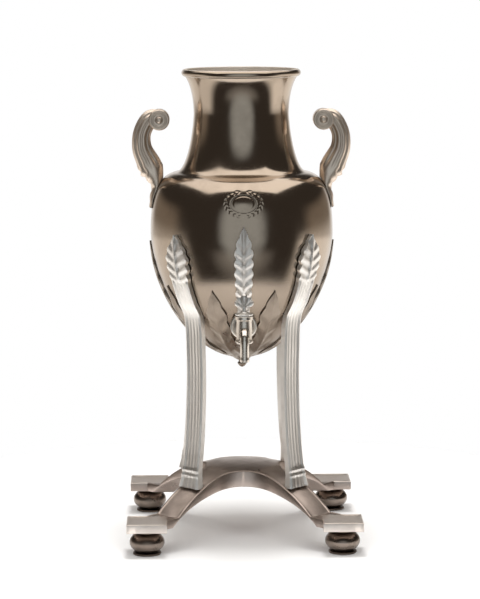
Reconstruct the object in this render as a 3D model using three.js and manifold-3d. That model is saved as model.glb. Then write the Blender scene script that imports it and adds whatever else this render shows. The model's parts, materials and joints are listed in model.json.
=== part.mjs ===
// Hot water urn: a silver vase with a tap, carried by four leaf-headed legs that stand on
// the arms of an arched base with four bun feet. Two free scroll handles rise from the shoulder.
// Millimetres, +Z up. The origin is on the ground, on the vase's axis. The tap faces -Y.
import * as THREE from "three";
import { mergeVertices } from "three/addons/utils/BufferGeometryUtils.js";
import Module from "manifold-3d";

const wasm = await Module();
wasm.setup();

// Clearances
const JOIN_GAP = 0.3; // between pieces that are soldered or screwed together
const TURN_GAP = 0.45; // round the tap's plug

// Base and feet
const BASE_HALF_WIDTH = 111; // axis to the outer face of a corner block
const BLOCK_SIZE = 38; // square corner blocks
const BLOCK_TOP = 32; // ground to the top of a corner block
const FOOT_HEIGHT = 23;
const FOOT_RADIUS = 16.5;
const DOME_TOP = 69.5; // ground to the middle of the base's top
const DOME_FULLNESS = 2.4; // 2 would be a parabola
const ARCH_CROWN = 51; // ground to the crown of the four arches
const ARCH_OVERLAP = 3; // how far an arch would run into a corner block at the ground
const ARM_WIDTH = 30;
const SIDE_HOLLOW = 36; // axis to the middle of each hollow side

// Vase
const VASE_BOTTOM = 175;
const BELLY_HEIGHT = 293;
const BELLY_RADIUS = 87.5;
const BOWL_FULLNESS = 1.62; // 2 would be an ellipse, less is more pointed
const SHOULDER_HEIGHT = 352;
const SHOULDER_RADIUS = 62;
const NECK_HEIGHT = 407; // where the neck is narrowest
const NECK_RADIUS = 45.5;
const LIP_HEIGHT = 7;
const LIP_RADIUS = 57;
const RIM_TOP = 450;
const WALL = 1.5;

// Legs
const LEG_WIDTH = 21;
const LEG_THICKNESS = 6.5;
const LEG_STANCE = 72; // axis to the middle of a leg where it stands on the base
const LEG_WAIST = 64; // axis to the middle of a leg below the vase
const LEG_JOIN = 220; // ground to where a leg meets the bowl
const LEG_TOP = 298;
const LEG_HEAD_WIDTH = 27;
const LEG_HEAD_LENGTH = 46;
const LEG_SHOE_WIDTH = 26;

// Calyx: four long leaves and eight broad petals on the bowl, joined by a drop below it
const LEAF_WIDTH = 18;
const LEAF_THICKNESS = 2.6;
const LEAF_TOP = 286;
const FRONT_LEAF_TOP = 308; // the one over the tap rises higher
const PETAL_WIDTH = 21;
const PETAL_THICKNESS = 2.2;
const PETAL_TOP = 246;
const DROP_RADIUS = 15;
const DROP_LENGTH = 13;

// Handles
const HANDLE_FOOT = 318; // ground to the lower end of a handle
const HANDLE_DEPTH = 18;
const HANDLE_THICKNESS = 23; // where the handle leaves the shoulder
const HANDLE_REACH = 95; // axis to the middle of a handle at its widest
const HANDLE_REACH_HEIGHT = 378;
const SCROLL_HEIGHT = 402; // ground to the eye of the scroll
const SCROLL_INSET = 78.5; // axis to the eye of the scroll
const SCROLL_RADIUS = 10;

// Tap
const TAP_HEIGHT = 212;
const FLANGE_RADIUS = 12.5;
const FLANGE_STAND = 8.9; // bowl at the height of the tap to the flat front of the flange
const TUBE_LENGTH = 23; // front of the flange to the middle of the barrel
const TUBE_RADIUS = 5.5;
const BARREL_RADIUS = 8.5;
const BARREL_HEIGHT = 27;
const PLUG_RADIUS = 5;
const SPOUT_RADIUS = 4.5;
const SPOUT_BORE = 3;
const SPOUT_BORE_DEPTH = 11;
const SPOUT_REACH = 13; // barrel axis to spout axis
const SPOUT_DROP = 28; // height of the tap above the tip of the spout
const KEY_FAN_RADIUS = 9;
const KEY_FAN_THICKNESS = 4.5;
const KEY_STEM_RADIUS = 3;
const KEY_STEM_HEIGHT = 4;
const KEY_CAP_HEIGHT = 2.5;

// Smoothness of the round forms
const ROUND_STEPS = 32;
const SMALL_ROUND_STEPS = 16;

const silver = (colour, roughness) =>
  new THREE.MeshStandardMaterial({ color: colour, roughness, metalness: 1 });
const POLISHED = silver(0xc9c1b4, 0.15);
const FROSTED = silver(0xcfc6b8, 0.4);
const BASE_METAL = silver(0xb5a99b, 0.3);

// A solid from a closed geometry, with shared vertices merged.
function solidOf(geometry) {
  const bare = geometry.clone();
  bare.deleteAttribute("normal");
  bare.deleteAttribute("uv");
  const merged = mergeVertices(bare, 1e-4);
  return new wasm.Manifold(
    new wasm.Mesh({
      numProp: 3,
      vertProperties: new Float32Array(merged.attributes.position.array),
      triVerts: new Uint32Array(merged.index.array),
    }),
  );
}

// A geometry from a solid.
function geometryOf(solid) {
  const mesh = solid.getMesh();
  const geometry = new THREE.BufferGeometry();
  geometry.setAttribute("position", new THREE.BufferAttribute(mesh.vertProperties, 3));
  geometry.setIndex(new THREE.BufferAttribute(mesh.triVerts, 1));
  return geometry;
}

// A solid turned about the Z axis from a profile of Vector2 (radius, height).
function turned(profile, steps) {
  return solidOf(new THREE.LatheGeometry(profile, steps).rotateX(Math.PI / 2));
}

function cylinder(radius, low, high, steps) {
  const profile = [
    new THREE.Vector2(0, low),
    new THREE.Vector2(radius, low),
    new THREE.Vector2(radius, high),
    new THREE.Vector2(0, high),
  ];
  return turned(profile, steps);
}

// A flat outline drawn in X and Y, made thick from low to high.
function slab(shape, low, high, curveSegments) {
  const settings = { depth: high - low, bevelEnabled: false, curveSegments };
  return solidOf(new THREE.ExtrudeGeometry(shape, settings).translate(0, 0, low));
}

// A closed skin over rings of points, which all have the same count.
function loft(rings) {
  const count = rings[0].length;
  const positions = [];
  const index = [];
  for (const ring of rings) for (const point of ring) positions.push(point.x, point.y, point.z);
  for (let i = 0; i + 1 < rings.length; i++) {
    for (let j = 0; j < count; j++) {
      const next = (j + 1) % count;
      const [a, b] = [i * count + j, i * count + next];
      const [c, d] = [a + count, b + count];
      index.push(a, b, d, a, d, c);
    }
  }
  for (const [i, flip] of [[0, true], [rings.length - 1, false]]) {
    const middle = rings[i].reduce((sum, p) => sum.add(p), new THREE.Vector3()).divideScalar(count);
    const centre = positions.length / 3;
    positions.push(middle.x, middle.y, middle.z);
    for (let j = 0; j < count; j++) {
      const [a, b] = [i * count + j, i * count + ((j + 1) % count)];
      index.push(...(flip ? [b, a, centre] : [a, b, centre]));
    }
  }
  const geometry = new THREE.BufferGeometry();
  geometry.setAttribute("position", new THREE.Float32BufferAttribute(positions, 3));
  geometry.setIndex(index);
  const solid = solidOf(geometry);
  return solid;
}

// Points moved sideways from a profile by a distance, outwards when it is positive.
function offsetProfile(profile, distance) {
  return profile.map((point, i) => {
    const before = profile[Math.max(i - 1, 0)];
    const after = profile[Math.min(i + 1, profile.length - 1)];
    const along = after.clone().sub(before).normalize();
    const moved = point.clone().add(new THREE.Vector2(along.y, -along.x).multiplyScalar(distance));
    moved.x = point.x === 0 ? 0 : Math.max(moved.x, 0);
    return moved;
  });
}

// The vase's outline from the middle of its bottom to below the lip, as radius and height.
function vasePath() {
  const bowl = [];
  const bowlSteps = 14;
  for (let i = 0; i <= bowlSteps; i++) {
    const angle = (i / bowlSteps) * (Math.PI / 2);
    const depth = Math.max(Math.cos(angle), 0) ** (2 / BOWL_FULLNESS);
    const height = BELLY_HEIGHT - depth * (BELLY_HEIGHT - VASE_BOTTOM);
    bowl.push(new THREE.Vector2(BELLY_RADIUS * Math.sin(angle), height));
  }
  const shoulderRise = SHOULDER_HEIGHT - BELLY_HEIGHT;
  const shoulderDraw = BELLY_RADIUS - SHOULDER_RADIUS;
  const neckRise = NECK_HEIGHT - SHOULDER_HEIGHT;
  const neckDraw = SHOULDER_RADIUS - NECK_RADIUS;
  const flareTop = RIM_TOP - LIP_HEIGHT;
  const flareRise = flareTop - NECK_HEIGHT;
  const flareSpread = LIP_RADIUS - LIP_HEIGHT / 2 - NECK_RADIUS;
  const path = new THREE.CurvePath();
  path.add(new THREE.SplineCurve(bowl));
  path.add(new THREE.CubicBezierCurve(
    new THREE.Vector2(BELLY_RADIUS, BELLY_HEIGHT),
    new THREE.Vector2(BELLY_RADIUS, BELLY_HEIGHT + 0.56 * shoulderRise),
    new THREE.Vector2(SHOULDER_RADIUS + 0.8 * shoulderDraw, SHOULDER_HEIGHT - 3),
    new THREE.Vector2(SHOULDER_RADIUS, SHOULDER_HEIGHT),
  ));
  path.add(new THREE.CubicBezierCurve(
    new THREE.Vector2(SHOULDER_RADIUS, SHOULDER_HEIGHT),
    new THREE.Vector2(NECK_RADIUS + 0.6 * neckDraw, SHOULDER_HEIGHT + 0.02 * neckRise),
    new THREE.Vector2(NECK_RADIUS + 0.14 * neckDraw, SHOULDER_HEIGHT + 0.4 * neckRise),
    new THREE.Vector2(NECK_RADIUS, NECK_HEIGHT),
  ));
  path.add(new THREE.CubicBezierCurve(
    new THREE.Vector2(NECK_RADIUS, NECK_HEIGHT),
    new THREE.Vector2(NECK_RADIUS, NECK_HEIGHT + 0.45 * flareRise),
    new THREE.Vector2(NECK_RADIUS + 0.4 * flareSpread, NECK_HEIGHT + 0.8 * flareRise),
    new THREE.Vector2(NECK_RADIUS + flareSpread, flareTop),
  ));
  return path;
}

const VASE_PATH = vasePath();

// The same outline as points, close enough together for a smooth vase.
function vaseOutline() {
  const [bowl, shoulder, neck, flare] = VASE_PATH.curves;
  return [
    ...bowl.getPoints(10),
    ...shoulder.getPoints(5).slice(1),
    ...neck.getPoints(5).slice(1),
    ...flare.getPoints(3).slice(1),
  ];
}

// The share of the outline's length at which it reaches a height.
function shareAt(height) {
  let [low, high] = [0, 1];
  for (let i = 0; i < 30; i++) {
    const middle = (low + high) / 2;
    if (VASE_PATH.getPointAt(middle).y < height) low = middle;
    else high = middle;
  }
  return low;
}

// A point at a distance outside the vase, at a share of the outline's length.
function outsideVase(share, distance) {
  const along = VASE_PATH.getTangentAt(share);
  const point = VASE_PATH.getPointAt(share);
  return new THREE.Vector2(point.x + along.y * distance, point.y - along.x * distance);
}

// The rolled lip, as a half round from its underside to its top.
function lipOutline() {
  const points = [];
  const steps = 4;
  for (let i = 1; i <= steps; i++) {
    const angle = -Math.PI / 2 + (Math.PI * i) / steps;
    const half = LIP_HEIGHT / 2;
    points.push(new THREE.Vector2(
      LIP_RADIUS - half + half * Math.cos(angle),
      RIM_TOP - half + half * Math.sin(angle),
    ));
  }
  return points;
}

// The vase is raised from sheet, open at the mouth, with an even wall.
function makeVase() {
  const outside = vaseOutline();
  const inside = offsetProfile(outside, -WALL).reverse();
  inside[inside.length - 1] = new THREE.Vector2(0, VASE_BOTTOM + WALL);
  const mouth = new THREE.Vector2(inside[0].x, RIM_TOP);
  return turned([...outside, ...lipOutline(), mouth, ...inside], ROUND_STEPS);
}

// The vase without its hollow, grown by a distance, for cutting what sits against it.
function vaseEnvelope(distance) {
  const outside = offsetProfile(vaseOutline(), distance);
  outside[0] = new THREE.Vector2(0, VASE_BOTTOM - distance);
  return turned([...outside, new THREE.Vector2(0, RIM_TOP)], ROUND_STEPS);
}

// The base's top: arched from the middle down to the corner blocks, which are flat.
function domeHeight(radius) {
  const blockAt = Math.SQRT2 * (BASE_HALF_WIDTH - BLOCK_SIZE);
  const fall = Math.min(radius / blockAt, 1) ** DOME_FULLNESS;
  return DOME_TOP - (DOME_TOP - BLOCK_TOP) * fall;
}

function domeSolid(distance) {
  const blockAt = Math.SQRT2 * (BASE_HALF_WIDTH - BLOCK_SIZE);
  const reach = Math.SQRT2 * BASE_HALF_WIDTH + 1;
  const rings = 11;
  const profile = [new THREE.Vector2(0, 0), new THREE.Vector2(reach, 0)];
  profile.push(new THREE.Vector2(reach, BLOCK_TOP + distance));
  for (let i = rings; i >= 0; i--) {
    const radius = (blockAt * i) / rings;
    profile.push(new THREE.Vector2(radius, domeHeight(radius) + distance));
  }
  return turned(profile, ROUND_STEPS);
}

// The plan of the base: four square blocks on diagonal arms, which meet in round hollows.
function basePlan() {
  const inner = BASE_HALF_WIDTH - BLOCK_SIZE;
  const shift = (ARM_WIDTH / 2) * Math.SQRT2;
  const hollowRadius = (SIDE_HOLLOW - shift) / (Math.SQRT2 - 1);
  const hollowCentre = SIDE_HOLLOW + hollowRadius;
  const steps = 10;
  const outline = [];
  for (let side = 0; side < 4; side++) {
    const turn = (side * Math.PI) / 2;
    const points = [[-BASE_HALF_WIDTH, -BASE_HALF_WIDTH], [-inner, -BASE_HALF_WIDTH], [-inner, -inner - shift]];
    for (let i = 0; i <= steps; i++) {
      const angle = (3 * Math.PI) / 4 - (Math.PI * i) / (2 * steps);
      points.push([hollowRadius * Math.cos(angle), hollowRadius * Math.sin(angle) - hollowCentre]);
    }
    points.push([inner, -inner - shift], [inner, -BASE_HALF_WIDTH]);
    for (const [x, y] of points) outline.push(new THREE.Vector2(x, y).rotateAround(new THREE.Vector2(), turn));
  }
  return new THREE.Shape(outline);
}

// The base is one casting, with an arch cut through it both ways.
function makeBase() {
  const halfSpan = BASE_HALF_WIDTH - BLOCK_SIZE + ARCH_OVERLAP;
  const archShape = new THREE.Shape().absellipse(0, 0, halfSpan, ARCH_CROWN, 0, Math.PI, false, 0);
  const through = 2.5 * BASE_HALF_WIDTH;
  const settings = { depth: through, bevelEnabled: false, curveSegments: 24 };
  const arch = new THREE.ExtrudeGeometry(archShape, settings)
    .translate(0, 0, -through / 2)
    .rotateX(Math.PI / 2);
  const block = slab(basePlan(), FOOT_HEIGHT + JOIN_GAP, DOME_TOP + 1, 1);
  return block
    .intersect(domeSolid(0))
    .subtract(solidOf(arch))
    .subtract(solidOf(arch.clone().rotateZ(Math.PI / 2)));
}

// One ball foot: a pad on the ground, a ball and a ring under the block.
function makeFoot() {
  const pad = 0.1 * FOOT_HEIGHT;
  const ring = 0.09 * FOOT_HEIGHT;
  const [ballLow, ballHigh] = [0.12 * FOOT_HEIGHT, 0.89 * FOOT_HEIGHT];
  const points = [
    [0, 0],
    [0.76 * FOOT_RADIUS, 0],
    [0.82 * FOOT_RADIUS, 0.4 * pad],
    [0.76 * FOOT_RADIUS, pad],
  ];
  const steps = 8;
  for (let i = 0; i <= steps; i++) {
    const up = (2 * i) / steps - 1;
    const height = (ballLow + ballHigh) / 2 + (up * (ballHigh - ballLow)) / 2;
    points.push([FOOT_RADIUS * Math.sqrt(1 - 0.64 * up ** 2), height]);
  }
  points.push(
    [0.76 * FOOT_RADIUS, FOOT_HEIGHT - ring],
    [0.76 * FOOT_RADIUS, FOOT_HEIGHT],
    [0, FOOT_HEIGHT],
  );
  return turned(points.map(([r, z]) => new THREE.Vector2(r, z)), SMALL_ROUND_STEPS);
}

// A strap's cross-section with raised edges: across the width first, then out from the vase.
function strapSection(width, thickness) {
  const [half, out] = [width / 2, thickness / 2];
  return [
    [-half, -out], [-half, 0.3 * out], [-0.76 * half, out], [-0.5 * half, 0.35 * out], [0, 0.15 * out],
    [0.5 * half, 0.35 * out], [0.76 * half, out], [half, 0.3 * out], [half, -out],
  ];
}

// Rings of a section along a curve that lies in the XZ plane: across is Y, out is the curve's left.
function sweep(curve, steps, sectionAt) {
  const rings = [];
  for (let i = 0; i <= steps; i++) {
    const share = i / steps;
    const middle = curve.getPointAt(share);
    const along = curve.getTangentAt(share);
    const out = new THREE.Vector3(along.z, 0, -along.x);
    rings.push(sectionAt(share, middle).map(([across, thick]) => {
      const point = middle.clone().addScaledVector(out, thick);
      point.y += across;
      return point;
    }));
  }
  return loft(rings);
}

// One leg in the XZ plane: up from the base, then against the bowl to a pointed leaf.
function makeLeg(vaseCut, domeCut) {
  const baseTop = domeHeight(LEG_STANCE);
  const legRise = VASE_BOTTOM - baseTop;
  const points = [
    [LEG_STANCE + 1, baseTop - 6],
    [LEG_STANCE, baseTop],
    [LEG_WAIST + 0.36 * (LEG_STANCE - LEG_WAIST), baseTop + 0.33 * legRise],
    [LEG_WAIST, baseTop + 0.7 * legRise],
    [LEG_WAIST, baseTop + 1.05 * legRise],
  ].map(([r, z]) => new THREE.Vector3(r, 0, z));
  const from = shareAt(LEG_JOIN);
  const to = shareAt(LEG_TOP);
  const bowlSteps = 5;
  for (let i = 0; i <= bowlSteps; i++) {
    const point = outsideVase(from + ((to - from) * i) / bowlSteps, JOIN_GAP + 0.42 * LEG_THICKNESS);
    points.push(new THREE.Vector3(point.x, 0, point.y));
  }
  const headFrom = LEG_TOP - LEG_HEAD_LENGTH;
  const strap = sweep(new THREE.CatmullRomCurve3(points), 20, (share, middle) => {
    const head = Math.min(Math.max((middle.z - headFrom) / (LEG_TOP - headFrom), 0), 1);
    const shoe = Math.min(Math.max(1 - (middle.z - baseTop) / 24, 0), 1) ** 2;
    const swell = Math.sin(Math.min(head / 0.45, 1) * (Math.PI / 2)) * (LEG_HEAD_WIDTH - LEG_WIDTH);
    const point = head > 0.45 ? Math.cos(((head - 0.45) / 0.55) * (Math.PI / 2)) : 1;
    const width = (LEG_WIDTH + swell) * Math.max(point, 0.12) + shoe * (LEG_SHOE_WIDTH - LEG_WIDTH);
    return strapSection(width, LEG_THICKNESS * (1 - 0.3 * head + 0.6 * shoe));
  });
  return strap.subtract(vaseCut).subtract(domeCut);
}

// A leaf on the vase in the XZ plane, pointed at its top, between two shares of the outline.
function makeLeaf(fromShare, toShare, fullWidth, thickness) {
  const rings = [];
  const steps = 9;
  for (let i = 0; i <= steps; i++) {
    const along = i / steps;
    const share = fromShare + (toShare - fromShare) * along;
    const spread = 0.55 + 0.45 * Math.sin(Math.min(along / 0.6, 1) * (Math.PI / 2));
    const pointed = along > 0.7 ? Math.cos(((along - 0.7) / 0.3) * (Math.PI / 2)) : 1;
    const half = 0.5 * fullWidth * spread * Math.max(pointed, 0.12);
    const section = [[-half, -0.9], [-half, 0.45], [0, 1], [half, 0.45], [half, -0.9]];
    rings.push(section.map(([across, out]) => {
      const lift = thickness * (out > 0 ? 0.4 + 0.6 * pointed : 1);
      const point = outsideVase(share, JOIN_GAP + lift * out);
      const turn = across / Math.max(point.x, fullWidth / 2);
      return new THREE.Vector3(point.x * Math.cos(turn), point.x * Math.sin(turn), point.y);
    }));
  }
  return loft(rings);
}

// A solid drop under the bowl.
function makeDrop() {
  const low = VASE_BOTTOM - DROP_LENGTH;
  const profile = [
    new THREE.Vector2(0, low),
    new THREE.Vector2(0.24 * DROP_RADIUS, low + 0.18 * DROP_LENGTH),
    new THREE.Vector2(0.3 * DROP_RADIUS, low + 0.36 * DROP_LENGTH),
    new THREE.Vector2(0.2 * DROP_RADIUS, low + 0.48 * DROP_LENGTH),
    new THREE.Vector2(0.55 * DROP_RADIUS, low + 0.66 * DROP_LENGTH),
    new THREE.Vector2(DROP_RADIUS, low + DROP_LENGTH),
    new THREE.Vector2(DROP_RADIUS, VASE_BOTTOM + 4),
    new THREE.Vector2(0, VASE_BOTTOM + 4),
  ];
  return turned(profile, SMALL_ROUND_STEPS);
}

// The leaves and petals start inside the drop. The leaf below the tap is a short one.
function makeCalyx(vaseCut, flangeCut) {
  const from = shareAt(VASE_BOTTOM + 0.6);
  const leaf = makeLeaf(from, shareAt(LEAF_TOP), LEAF_WIDTH, LEAF_THICKNESS);
  const underTap = shareAt(TAP_HEIGHT - FLANGE_RADIUS);
  const shortLeaf = makeLeaf(from, underTap, LEAF_WIDTH, LEAF_THICKNESS);
  const petal = makeLeaf(from, shareAt(PETAL_TOP), PETAL_WIDTH, PETAL_THICKNESS);
  let calyx = makeDrop().add(shortLeaf.rotate([0, 0, -90]));
  for (const turn of [0, 90, 180]) calyx = calyx.add(leaf.rotate([0, 0, turn]));
  for (let i = 0; i < 8; i++) calyx = calyx.add(petal.rotate([0, 0, 22.5 + 45 * i]));
  return calyx.subtract(vaseCut).subtract(flangeCut);
}

// The leaf above the tap.
function makeFrontLeaf(vaseCut, flangeCut) {
  const leaf = makeLeaf(shareAt(TAP_HEIGHT), shareAt(FRONT_LEAF_TOP), LEAF_WIDTH, LEAF_THICKNESS);
  return leaf.rotate([0, 0, -90]).subtract(vaseCut).subtract(flangeCut);
}

// One handle on the +X side: a leaf on the shoulder that thickens into a free scroll.
function makeHandle(vaseCut) {
  const rise = HANDLE_REACH_HEIGHT - HANDLE_FOOT;
  const bulge = HANDLE_REACH - BELLY_RADIUS;
  const heel = outsideVase(shareAt(HANDLE_FOOT), 0);
  const instep = outsideVase(shareAt(HANDLE_FOOT + 0.17 * rise), 0.5);
  const points = [
    [heel.x, heel.y],
    [instep.x, instep.y],
    [BELLY_RADIUS - 0.85 * bulge, HANDLE_FOOT + 0.34 * rise],
    [BELLY_RADIUS - 0.5 * bulge, HANDLE_FOOT + 0.53 * rise],
    [BELLY_RADIUS + 0.3 * bulge, HANDLE_FOOT + 0.74 * rise],
    [HANDLE_REACH, HANDLE_REACH_HEIGHT - 0.05 * rise],
    [HANDLE_REACH - 0.05 * bulge, HANDLE_REACH_HEIGHT + 0.5 * (SCROLL_HEIGHT - HANDLE_REACH_HEIGHT)],
    [SCROLL_INSET + 0.5 * (HANDLE_REACH - SCROLL_INSET), SCROLL_HEIGHT + 0.08 * SCROLL_RADIUS],
    [SCROLL_INSET, SCROLL_HEIGHT + 0.12 * SCROLL_RADIUS],
  ];
  const curve = new THREE.CatmullRomCurve3(points.map(([x, z]) => new THREE.Vector3(x, 0, z)));
  const sides = 10;
  const arm = sweep(curve, 18, (share, middle) => {
    const climb = Math.min(Math.max((middle.z - HANDLE_FOOT) / (0.6 * rise), 0), 1);
    const slim = 1 - 0.26 * Math.sin(Math.min(Math.max((share - 0.45) / 0.35, 0), 1) * (Math.PI / 2));
    const thick = (HANDLE_THICKNESS / 2) * (0.22 + 0.78 * climb ** 2) * slim;
    const deep = (HANDLE_DEPTH / 2) * (1.12 - 0.2 * share);
    const section = [];
    for (let i = 0; i < sides; i++) {
      const angle = (-2 * Math.PI * i) / sides;
      section.push([deep * Math.cos(angle), thick * Math.sin(angle)]);
    }
    return section;
  });
  const eye = cylinder(SCROLL_RADIUS, -HANDLE_DEPTH / 2, HANDLE_DEPTH / 2, SMALL_ROUND_STEPS)
    .rotate([90, 0, 0])
    .translate([SCROLL_INSET, 0, SCROLL_HEIGHT]);
  return arm.add(eye).subtract(vaseCut);
}

// The tap: a flange on the bowl, a tube, an upright barrel and a spout that turns down.
function makeTap(vaseCut) {
  const low = TAP_HEIGHT - BARREL_HEIGHT / 2;
  const high = TAP_HEIGHT + BARREL_HEIGHT / 2;
  const flange = cylinder(FLANGE_RADIUS, 0.4 * flangeFace, flangeFace, SMALL_ROUND_STEPS);
  const tube = cylinder(TUBE_RADIUS, flangeFace - 2, tapOffset, SMALL_ROUND_STEPS);
  const branch = flange.add(tube).rotate([90, 0, 0]).translate([0, 0, TAP_HEIGHT]);
  const barrel = cylinder(BARREL_RADIUS, low, high, SMALL_ROUND_STEPS).translate([0, -tapOffset, 0]);
  const spoutAt = tapOffset + SPOUT_REACH;
  const route = new THREE.CatmullRomCurve3([
    new THREE.Vector3(tapOffset + 0.4 * SPOUT_REACH, 0, TAP_HEIGHT - 1),
    new THREE.Vector3(spoutAt - 0.3 * SPOUT_REACH, 0, TAP_HEIGHT - 2),
    new THREE.Vector3(spoutAt, 0, TAP_HEIGHT - 9),
    new THREE.Vector3(spoutAt, 0, spoutTip + 4),
    new THREE.Vector3(spoutAt, 0, spoutTip),
  ]);
  const sides = 12;
  const spout = sweep(route, 10, () => {
    const section = [];
    for (let i = 0; i < sides; i++) {
      const angle = (-2 * Math.PI * i) / sides;
      section.push([SPOUT_RADIUS * Math.cos(angle), SPOUT_RADIUS * Math.sin(angle)]);
    }
    return section;
  }).rotate([0, 0, -90]);
  const spoutHole = cylinder(SPOUT_BORE, spoutTip - 1, spoutTip + SPOUT_BORE_DEPTH, sides)
    .translate([0, -spoutAt, 0]);
  const plugHole = cylinder(PLUG_RADIUS + TURN_GAP, low + WALL, high + 1, SMALL_ROUND_STEPS)
    .translate([0, -tapOffset, 0]);
  return branch.add(barrel).add(spout).subtract(spoutHole).subtract(plugHole).subtract(vaseCut);
}

// The tap's key: a plug that turns in the barrel, a cap and a shell-shaped grip.
function makeKey() {
  const low = TAP_HEIGHT - BARREL_HEIGHT / 2 + WALL + TURN_GAP;
  const high = TAP_HEIGHT + BARREL_HEIGHT / 2 + TURN_GAP;
  const stemTop = high + KEY_CAP_HEIGHT + KEY_STEM_HEIGHT;
  const profile = [
    [0, low], [PLUG_RADIUS, low], [PLUG_RADIUS, high], [BARREL_RADIUS, high],
    [BARREL_RADIUS, high + 0.6 * KEY_CAP_HEIGHT], [KEY_STEM_RADIUS, high + KEY_CAP_HEIGHT],
    [KEY_STEM_RADIUS, stemTop + 2], [0, stemTop + 2],
  ].map(([r, z]) => new THREE.Vector2(r, z));
  const lobes = 5;
  const outline = [];
  const steps = 30;
  for (let i = 0; i <= steps; i++) {
    const angle = (-0.12 + (1.24 * i) / steps) * Math.PI;
    const wave = Math.abs(Math.sin((angle + 0.12 * Math.PI) * (lobes / 1.24)));
    const reach = KEY_FAN_RADIUS * (0.86 + 0.14 * wave);
    outline.push(new THREE.Vector2(reach * Math.cos(angle), reach * Math.sin(angle)));
  }
  outline.push(new THREE.Vector2(-KEY_STEM_RADIUS, -0.55 * KEY_FAN_RADIUS));
  outline.push(new THREE.Vector2(KEY_STEM_RADIUS, -0.55 * KEY_FAN_RADIUS));
  const half = KEY_FAN_THICKNESS / 2;
  const fan = slab(new THREE.Shape(outline), -half, half, 1)
    .rotate([90, 0, 0])
    .translate([0, 0, stemTop + 0.5 * KEY_FAN_RADIUS]);
  return turned(profile, SMALL_ROUND_STEPS).add(fan).translate([0, -tapOffset, 0]);
}

function addMesh(group, name, solid, material) {
  const mesh = new THREE.Mesh(geometryOf(solid), material);
  mesh.name = name;
  group.add(mesh);
  return mesh;
}

// Places of the tap, out from the bowl at its height.
const flangeFace = outsideVase(shareAt(TAP_HEIGHT), 0).x + FLANGE_STAND;
const tapOffset = flangeFace + TUBE_LENGTH;
const spoutTip = TAP_HEIGHT - SPOUT_DROP;

const urn = new THREE.Group();
const vaseCut = vaseEnvelope(JOIN_GAP);
const domeCut = domeSolid(JOIN_GAP);
const flangeCut = cylinder(FLANGE_RADIUS + JOIN_GAP, 0, tapOffset, SMALL_ROUND_STEPS)
  .rotate([90, 0, 0])
  .translate([0, 0, TAP_HEIGHT]);

addMesh(urn, "vase", makeVase(), POLISHED);
addMesh(urn, "calyx", makeCalyx(vaseCut, flangeCut), FROSTED);
addMesh(urn, "front_leaf", makeFrontLeaf(vaseCut, flangeCut), FROSTED);
addMesh(urn, "tap", makeTap(vaseCut), POLISHED);
addMesh(urn, "tap_key", makeKey(), FROSTED);
addMesh(urn, "base", makeBase(), BASE_METAL);

const sides = [["handle_right", 0], ["handle_left", Math.PI]];
const handle = makeHandle(vaseCut);
for (const [name, turn] of sides) addMesh(urn, name, handle, POLISHED).rotation.z = turn;

const corners = [
  ["back_right", Math.PI / 4],
  ["back_left", (3 * Math.PI) / 4],
  ["front_left", (5 * Math.PI) / 4],
  ["front_right", (7 * Math.PI) / 4],
];
const leg = makeLeg(vaseCut, domeCut);
const bun = makeFoot();
const footAt = Math.SQRT2 * (BASE_HALF_WIDTH - BLOCK_SIZE / 2);
for (const [name, turn] of corners) {
  addMesh(urn, `leg_${name}`, leg, FROSTED).rotation.z = turn;
  const foot = addMesh(urn, `foot_${name}`, bun, BASE_METAL);
  foot.position.set(footAt * Math.cos(turn), footAt * Math.sin(turn), 0);
  foot.rotation.z = turn;
}

export default urn;
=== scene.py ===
import json
import math

import bmesh
import bpy
import numpy as np
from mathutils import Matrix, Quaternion, Vector

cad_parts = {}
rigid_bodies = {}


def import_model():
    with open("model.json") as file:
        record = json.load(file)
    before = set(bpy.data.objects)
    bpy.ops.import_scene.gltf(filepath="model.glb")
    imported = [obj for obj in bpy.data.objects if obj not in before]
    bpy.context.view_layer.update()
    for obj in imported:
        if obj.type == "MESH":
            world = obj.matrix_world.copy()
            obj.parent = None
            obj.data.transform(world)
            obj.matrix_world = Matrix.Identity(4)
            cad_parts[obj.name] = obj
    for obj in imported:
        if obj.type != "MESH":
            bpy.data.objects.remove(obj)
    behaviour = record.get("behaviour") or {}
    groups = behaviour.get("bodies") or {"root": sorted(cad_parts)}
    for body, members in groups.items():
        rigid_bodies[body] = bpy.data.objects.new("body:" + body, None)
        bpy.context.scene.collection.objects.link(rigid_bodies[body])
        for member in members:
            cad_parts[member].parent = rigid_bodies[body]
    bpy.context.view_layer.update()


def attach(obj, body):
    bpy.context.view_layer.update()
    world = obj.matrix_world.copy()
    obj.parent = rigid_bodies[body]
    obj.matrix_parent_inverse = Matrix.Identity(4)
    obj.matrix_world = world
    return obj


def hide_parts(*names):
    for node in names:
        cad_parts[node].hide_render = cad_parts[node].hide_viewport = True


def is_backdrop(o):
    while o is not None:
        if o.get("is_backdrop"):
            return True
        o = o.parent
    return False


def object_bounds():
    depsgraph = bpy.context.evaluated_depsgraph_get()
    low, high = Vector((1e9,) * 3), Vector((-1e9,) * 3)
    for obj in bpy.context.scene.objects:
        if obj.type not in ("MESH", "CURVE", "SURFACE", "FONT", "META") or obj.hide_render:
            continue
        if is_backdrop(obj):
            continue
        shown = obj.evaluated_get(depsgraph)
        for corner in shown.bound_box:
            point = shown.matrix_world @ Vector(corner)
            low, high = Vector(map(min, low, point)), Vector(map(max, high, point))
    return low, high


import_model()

MM = 0.001
TAU = 2 * math.pi
ROOT2 = math.sqrt(2)
FAR = 99.0  # farther from any edge than the relief reaches

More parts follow.
